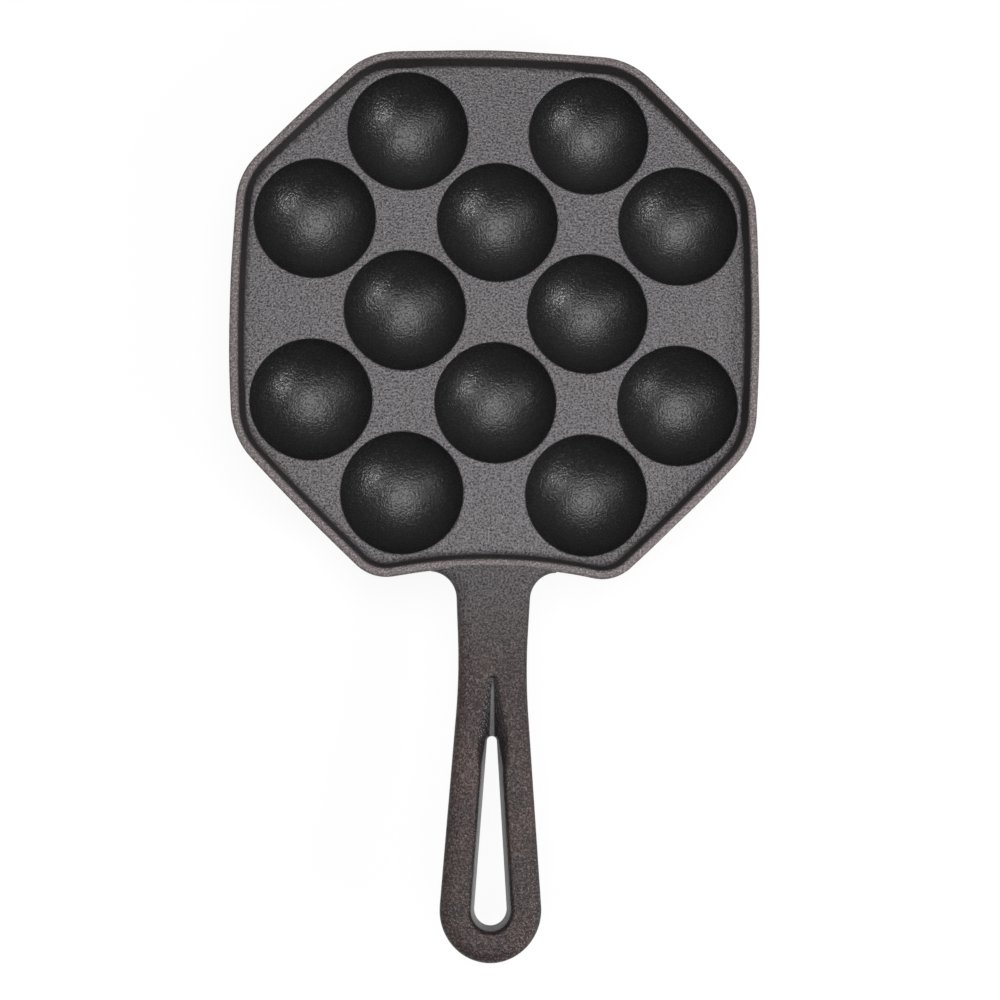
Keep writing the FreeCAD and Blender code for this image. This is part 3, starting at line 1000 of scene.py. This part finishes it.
@dataclass
class Handle:
    """The long handle: flared root, neck with a groove, and two rails that loop round the hanging slot.

    Half of it is worked out and mirrored. A row runs across from the inner line, which is the middle or
    the slot's edge, to the outer edge. Each point's height is the lesser of three: the flat top, the
    rounding near the outer edge, and the slope that rises from the slot or the groove's floor.
    """

    plan: OctagonPlan
    root_half_width: float = 14.9
    waist_half_width: float = 12.9
    waist_y: float = -144.0
    waist_radius: float = 250.0
    flare_y: float = -103.9
    flare_radius: float = 10.8
    loop_y: float = -232.0
    loop_radius: float = 19.3
    thickness: float = 9.6
    bend_y: float = -128.0
    bend_radius: float = 160.0
    rise: float = math.radians(4.5)
    top_radius: float = 3.6
    top_roll: float = 6.6
    top_blend: float = 4.4
    under_radius: float = 2.8
    under_blend: float = 1.1
    slot_nose_y: float = -169.3
    slot_nose_radius: float = 1.9
    slot_end_y: float = -231.7
    slot_end_radius: float = 6.15
    slot_draft: float = 1.6
    nose_run: float = 16.0
    nose_depth: float = 3.4
    groove_tip_y: float = -144.5
    groove_tip: float = 0.25
    groove_floor: float = 0.8
    groove_mouth: float = 4.6
    seat: float = 1.3
    wave_mm: float = 24.0
    wave_seed: int = 11
    wave_height: float = 0.10
    wave_band: tuple = (-104.0, -116.0)
    brown_band: tuple = (-104.0, -150.0)
    crisp: float = 42.0
    flare_rows: int = 30
    waist_rows: int = 24
    loop_rows: int = 60
    neck_rows: int = 60
    nose_rows: int = 14
    rail_rows: int = 64
    end_rows: int = 40
    edge_steps: int = 5
    columns: int = 56
    crowding: float = 0.78
    outline: Array = field(init=False)
    slot: Array = field(init=False)

    def __post_init__(self) -> None:
        """Work out the outer edge and the slot's edge, on the right-hand side."""
        waist = np.array([self.waist_half_width, self.waist_y])
        loop, down = np.array([0.0, self.loop_y]), np.array([0.0, -1.0])
        gap = loop - waist
        lean = math.asin(self.loop_radius / np.linalg.norm(gap)) - math.atan2(waist[0], -gap[1])
        touch = loop + self.loop_radius * np.array([math.cos(lean), math.sin(lean)])
        root = np.array([self.root_half_width, self.flare_y])
        shoulder = np.array([self.root_half_width * 2, self.flare_y])
        flare = root + self.flare_radius * corner_arc(shoulder, root, waist, self.flare_rows)
        middle = waist + self.waist_radius * corner_arc(root, waist, touch, self.waist_rows)
        end = arc_points(loop, touch, loop + self.loop_radius * down, self.loop_rows)
        self.outline = np.concatenate([flare, middle, end])
        nose, end = np.array([0.0, self.slot_nose_y]), np.array([0.0, self.slot_end_y])
        lean = math.asin((self.slot_end_radius - self.slot_nose_radius) / (nose[1] - end[1]))
        side = np.array([math.cos(lean), math.sin(lean)])
        small, large = self.slot_nose_radius, self.slot_end_radius
        nose_arc = arc_points(nose, nose - small * down, nose + small * side, self.nose_rows)
        end_arc = arc_points(end, end + large * side, end + large * down, self.end_rows)
        self.slot = np.concatenate([nose_arc, end_arc])

    @property
    def nose_y(self) -> float:
        """The end of the slot that is nearer to the plate."""
        return self.slot_nose_y + self.slot_nose_radius

    def middle_z(self, y: Array) -> Array:
        """The height half-way through the handle: level, then an arc, then a straight climb.

        Args:
            y: places along the handle.

        Returns:
            One height for each place.
        """
        tangent = self.bend_radius * math.tan(self.rise / 2)
        run = np.maximum(self.bend_y + tangent - y, 0.0)
        arc_run = np.minimum(run, self.bend_radius * math.sin(self.rise))
        arc = self.bend_radius - np.sqrt(self.bend_radius**2 - arc_run**2)
        lift = np.where(run > arc_run, (self.bend_y - y) * math.tan(self.rise), arc)
        return RIM_TOP_Z - self.thickness / 2 + lift

    def build(self, iron: bpy.types.Material) -> bpy.types.Object:
        """Make both halves and weld them along the middle.

        Args:
            iron: the finish.

        Returns:
            The handle.
        """
        inner, outer, open_row = self._rows()
        flat = self._spread(inner, outer)
        top, top_marks = self._top(flat)
        bottom = self._bottom(flat)
        skin = SkinBuilder()
        steps = np.linspace(0, 1, self.edge_steps)[:, None]
        edge, wall = (top[:, at][:, None] * (1 - steps) + bottom[:, at][:, None] * steps for at in (-1, 0))
        keep = np.repeat(open_row[:-1, None], len(steps) - 1, axis=1)
        for side in (1, -1):
            turned = np.array([side, 1.0, 1.0])
            flip = side > 0
            skin.add_grid(top * turned, top_marks, flip=flip)
            # Underneath and round the sides, seasoning and painted shade darken it.
            skin.add_grid(bottom * turned, Marks(seasoned=0.3, browned=0.8), flip=not flip)
            skin.add_grid(edge * turned, Marks(seasoned=0.25, browned=0.8), flip=flip)
            # The slot's wall is light grey: ground iron, and a painted reflection of the white floor.
            skin.add_grid(wall * turned, Marks(ground=1.0), flip=not flip, keep=keep)
        return skin.dress(
            "handle_skin", iron, "edge_iron", "handle_neck", "handle_loop", crisp=self.crisp
        )

    def _rows(self) -> tuple:
        """Where the rows across one half begin and end.

        Returns:
            The inner ends, the outer ends, and True for each row whose inner end is on the slot.
        """
        flare = self.outline[: self.flare_rows]
        root_y = np.linspace(self.seat - self.plan.handle_side_reach, flare[-1, 1], self.flare_rows)
        neck_y = np.linspace(flare[-1, 1], self.nose_y, self.neck_rows)[1:]
        near_nose = np.cos(np.linspace(0, np.pi / 2, self.nose_rows)[1:])
        near_nose = self.nose_y - (1 - near_nose) * self.nose_depth
        rail = np.linspace(0, 1, self.rail_rows)[1:]
        inner_rail = near_nose[-1] + (self.slot_end_y - near_nose[-1]) * rail
        outer_rail = near_nose[-1] + (self.loop_y - near_nose[-1]) * rail
        inner_y = np.concatenate([near_nose, inner_rail])
        outer_y = np.concatenate([neck_y, near_nose, outer_rail])
        slot_x = np.interp(-inner_y, -self.slot[:, 1], self.slot[:, 0])
        edge_x = np.interp(-outer_y, -self.outline[:, 1], self.outline[:, 0])
        turn = -np.linspace(0, np.pi / 2, self.end_rows)[1:]
        around = np.stack([np.cos(turn), np.sin(turn)], axis=1)
        middle_y = np.concatenate([root_y, neck_y])
        inner = np.concatenate(
            [
                np.stack([np.zeros(len(middle_y)), middle_y], axis=1),
                np.stack([slot_x, inner_y], axis=1),
                np.array([0.0, self.slot_end_y]) + around * self.slot_end_radius,
            ]
        )
        end = np.array([0.0, self.loop_y]) + around * self.loop_radius
        outer = np.concatenate([flare, np.stack([edge_x, outer_y], axis=1), end])
        return inner, outer, np.arange(len(inner)) >= len(middle_y) - 1

    def _spread(self, inner: Array, outer: Array) -> Array:
        """Points along every row, closer together near both ends. The first row follows the rim's side.

        Args:
            inner: each row's inner end.
            outer: each row's outer end.

        Returns:
            Rows by columns by 2.
        """
        t = np.linspace(0, 1, self.columns)
        share = t - np.sin(2 * np.pi * t) / (2 * np.pi) * self.crowding
        flat = inner[:, None] + (outer - inner)[:, None] * share[None, :, None]
        centre_y = self.plan.handle_side_reach + self.plan.handle_side_radius
        radius = self.plan.handle_side_radius + self.seat
        flat[0, :, 1] = np.sqrt(radius**2 - flat[0, :, 0] ** 2) - centre_y
        return flat

    def _top(self, flat: Array) -> tuple:
        """The top of one half.

        Its slope at the slot follows the draft, and near the nose it turns into the groove's slope.

        Args:
            flat: the half's points in plan.

        Returns:
            The points, and their marks.
        """
        half = self.thickness / 2
        x, y = flat[..., 0], flat[..., 1]
        rounded = self._rounded_edge(flat, self.top_roll, self.top_radius)
        past = np.clip((self.groove_tip_y - y) / (self.groove_tip_y - self.nose_y), 0.0, 1.0)
        floor_z = half * (1 - past)
        groove_slope = (self.groove_mouth - self.groove_floor) / half
        floor_half_width = self.groove_tip + (self.groove_floor - self.groove_tip) * past
        trough = floor_z + np.maximum(x - floor_half_width, 0.0) / groove_slope
        trough = np.where(past > 0, trough, half * 3)
        at_nose = (math.hypot(self.groove_mouth, self.slot_nose_radius) - self.slot_nose_radius) / half
        slope = self.slot_draft / half
        slope = slope + (at_nose - slope) * smooth_step(self.nose_y - self.nose_run, self.nose_y, y)
        wall = self._slot_distance(flat) / slope
        on_neck = y >= self.nose_y
        carve = np.where(on_neck, trough, wall)
        height = np.maximum(smooth_min(rounded, carve, self.top_blend), 0.0)
        middle = self.middle_z(y)
        wave = ripple(raised(flat, middle), self.wave_mm, self.wave_seed) * self.wave_height
        top = raised(flat, middle + height + wave * smooth_step(*self.wave_band, y))
        cut = smooth_step(-0.1, 1.0, rounded - carve)
        beyond = (carve - rounded) * np.where(on_neck, groove_slope, slope)
        # Painted shade on the shoulders beside the slot and the groove.
        shoulder = smooth_step(1.5, 0.1, beyond) * (1 - cut)
        # Grey on the groove's floor and at the slot wall's foot: ground iron, and on the wall a painted
        # reflection of the white floor.
        floor = smooth_step(0.7, 0.1, trough - floor_z) * on_neck
        ground_and_reflection_width = 0.6 + 1.1 * smooth_step(self.nose_y, self.nose_y - 14.0, y)
        wall_foot = smooth_step(1.3, 0.8, wall * slope / ground_and_reflection_width)
        ground = cut * np.where(on_neck, 0.75 * floor, wall_foot)
        # Painted shade on the rounded outer edge.
        edge = smooth_step(half - 1.1, half - 2.6, rounded)
        # Black from painted shade in the groove and the slot, on the shoulders and on the outer edge.
        seasoned = 0.85 * shoulder + 0.9 * cut * (1 - ground) + 0.5 * edge * (1 - cut)
        marks = Marks(
            seasoned=np.clip(seasoned, 0, 1),
            browned=smooth_step(*self.brown_band, y),
            rubbed=0.10 * (1 - cut),
            ground=ground,
        )
        return top, marks

    def _bottom(self, flat: Array) -> Array:
        """The underside of one half: level, rounded at its outer edge, and sloped where it meets the slot.

        Args:
            flat: the half's points in plan.

        Returns:
            Rows by columns by 3.
        """
        half = self.thickness / 2
        wall = self._slot_distance(flat) / (self.slot_draft / half)
        carve = np.where(flat[..., 1] < self.nose_y, wall, half * 3)
        rounded = self._rounded_edge(flat, self.under_radius, self.under_radius)
        depth = np.maximum(smooth_min(rounded, carve, self.under_blend), 0.0)
        return raised(flat, self.middle_z(flat[..., 1]) - depth)

    def _slot_distance(self, flat: Array) -> Array:
        """How far each point is from the slot's edge."""
        return distance_to_line(flat, np.concatenate([self.slot[::-1], self.slot * [-1, 1]]))

    def _rounded_edge(self, flat: Array, roll: float, drop: float) -> Array:
        """Half the thickness, lowered near the outer edge by a quarter of an ellipse.

        Args:
            flat: the half's points in plan.
            roll: the ellipse's width.
            drop: the ellipse's height.

        Returns:
            One height for each point, above the handle's middle.
        """
        distance = distance_to_line(flat, self.outline)
        distance[:, -1] = 0.0
        short = np.clip(1 - distance / roll, 0.0, 1.0)
        return self.thickness / 2 - drop * (1 - np.sqrt(1 - short**2))


# The studio


@dataclass(frozen=True)
class Lamp:
    """A square soft lamp that points at the plate's centre. Its place and side are in millimetres."""

    name: str
    place: tuple
    side: float
    watts: float

    def build(self) -> None:
        """Add the lamp to the scene."""
        light = bpy.data.lights.new(self.name, "AREA")
        light.shape = "SQUARE"
        light.size = self.side * MM
        light.energy = self.watts
        lamp = bpy.data.objects.new(self.name, light)
        lamp.location = Vector(self.place) * MM
        lamp.rotation_euler = (-lamp.location).to_track_quat("-Z", "Y").to_euler()
        bpy.context.scene.collection.objects.link(lamp)


@dataclass(frozen=True)
class Studio:
    """A white floor, soft lamps and the camera that looks down on the pan."""

    camera_place: tuple = (-20.39, -114.08, 531.38)
    camera_turn: tuple = (-0.0723377, -0.0430157, 0.0129525)
    lens: float = 48.56
    sensor_width: float = 36.0
    clip: tuple = (0.01, 20.0)
    floor_size: float = 3000.0
    floor_gap: float = 0.05
    floor_colour: tuple = (0.75, 0.75, 0.75, 1.0)
    white: tuple = (1.0, 1.0, 1.0, 1.0)
    seen_share: float = 0.88
    mirrored_share: float = 0.6
    air_strength: float = 0.16
    lamps: tuple = (
        Lamp("overhead", (0.0, 10.0, 950.0), 1000.0, 13.0),
        Lamp("front_right", (690.0, -420.0, 430.0), 220.0, 5.0),
        Lamp("front_left", (-720.0, -300.0, 520.0), 300.0, 1.4),
    )

    def build(self) -> None:
        """Make the camera first, then the floor, the world and the lamps."""
        self._camera()
        self._floor()
        self._world()
        for lamp in self.lamps:
            lamp.build()

    def _camera(self) -> None:
        """Place the camera: it looks straight down, then turns by a rotation vector.

        The turn's matrix is 1 + sin(angle) K + (1 - cos(angle)) K^2, where K is the axis's cross product.
        """
        lens = bpy.data.cameras.new("camera")
        lens.lens = self.lens
        lens.sensor_width = self.sensor_width
        lens.clip_start, lens.clip_end = self.clip
        viewer = bpy.data.objects.new("camera", lens)
        bpy.context.scene.collection.objects.link(viewer)
        turn = np.array(self.camera_turn)
        angle = float(np.linalg.norm(turn))
        x, y, z = turn / angle
        cross = np.array([[0, -z, y], [z, 0, -x], [-y, x, 0]])
        spin = np.eye(3) + math.sin(angle) * cross + (1 - math.cos(angle)) * cross @ cross
        view = spin @ np.diag([1.0, -1.0, -1.0])
        matrix = np.eye(4)
        matrix[:3, :3] = np.stack([view[0], -view[1], -view[2]], axis=1)
        matrix[:3, 3] = np.array(self.camera_place) * MM
        viewer.matrix_world = Matrix(matrix.tolist())
        bpy.context.scene.camera = viewer

    def _floor(self) -> None:
        """A level sheet under the cups' feet: pale, and white to the camera and in reflections."""
        reach = self.floor_size / 2
        corners = np.array([[-reach, -reach], [reach, -reach], [reach, reach], [-reach, reach]])
        points = raised(corners, np.array(FLOOR_Z - self.floor_gap)) * MM
        mesh = bpy.data.meshes.new("studio_floor")
        mesh.from_pydata(points.tolist(), [], [[0, 1, 2, 3]])
        floor = bpy.data.objects.new("studio_floor", mesh)
        bpy.context.scene.collection.objects.link(floor)
        bench = NodeBench.named("studio_white")
        rays = ("Is Camera Ray", "Is Glossy Ray", "Is Transmission Ray")
        seen, mirrored, through = (bench.node("ShaderNodeLightPath", {}, {}, ray) for ray in rays)
        factor = seen * self.seen_share + mirrored * self.mirrored_share + through * self.mirrored_share
        sheet = bench.node("ShaderNodeBsdfDiffuse", {}, {"Color": self.floor_colour}, "BSDF")
        white = bench.node("ShaderNodeEmission", {}, {"Color": self.white, "Strength": 1.0}, "Emission")
        both = bench.node("ShaderNodeMixShader", {}, {0: factor.clamped(), 1: sheet, 2: white})
        mesh.materials.append(bench.finish(both))

    def _world(self) -> None:
        """A dim even sky."""
        world = bpy.data.worlds.new("studio_air")
        bpy.context.scene.world = world
        world.use_nodes = True
        sky = world.node_tree.nodes["Background"]
        sky.inputs["Color"].default_value = self.white
        sky.inputs["Strength"].default_value = self.air_strength


def main() -> None:
    """Build the studio and dress every region of the pan."""
    logging.basicConfig(level=logging.INFO)
    bpy.context.scene.view_settings.view_transform = "Standard"
    Studio().build()
    plate_iron = SeasonedIron("plate_iron").build()
    edge_iron = SeasonedIron("edge_iron", specular=0.45, roughness=0.40).build()
    handle_iron = SeasonedIron(
        "handle_iron",
        plain=(0.040, 0.037, 0.040, 1.0),
        brown=(0.0165, 0.0082, 0.0078, 1.0),
        crest_share=0.16,
        specular=0.25,
        roughness=0.30,
    ).build()
    plan, pattern = OctagonPlan(), CupPattern()
    pieces = [
        GriddleWeb(plan, pattern).build(plate_iron),
        Rim(plan, pattern).build(edge_iron),
        Handle(plan).build(handle_iron),
    ]
    pieces += [Cup(name, centre, pattern).build(plate_iron) for name, centre in pattern.places()]
    for piece in pieces:
        log.info("%s: %d faces", piece.name, len(piece.data.polygons))


if __name__ == "__main__":
    main()
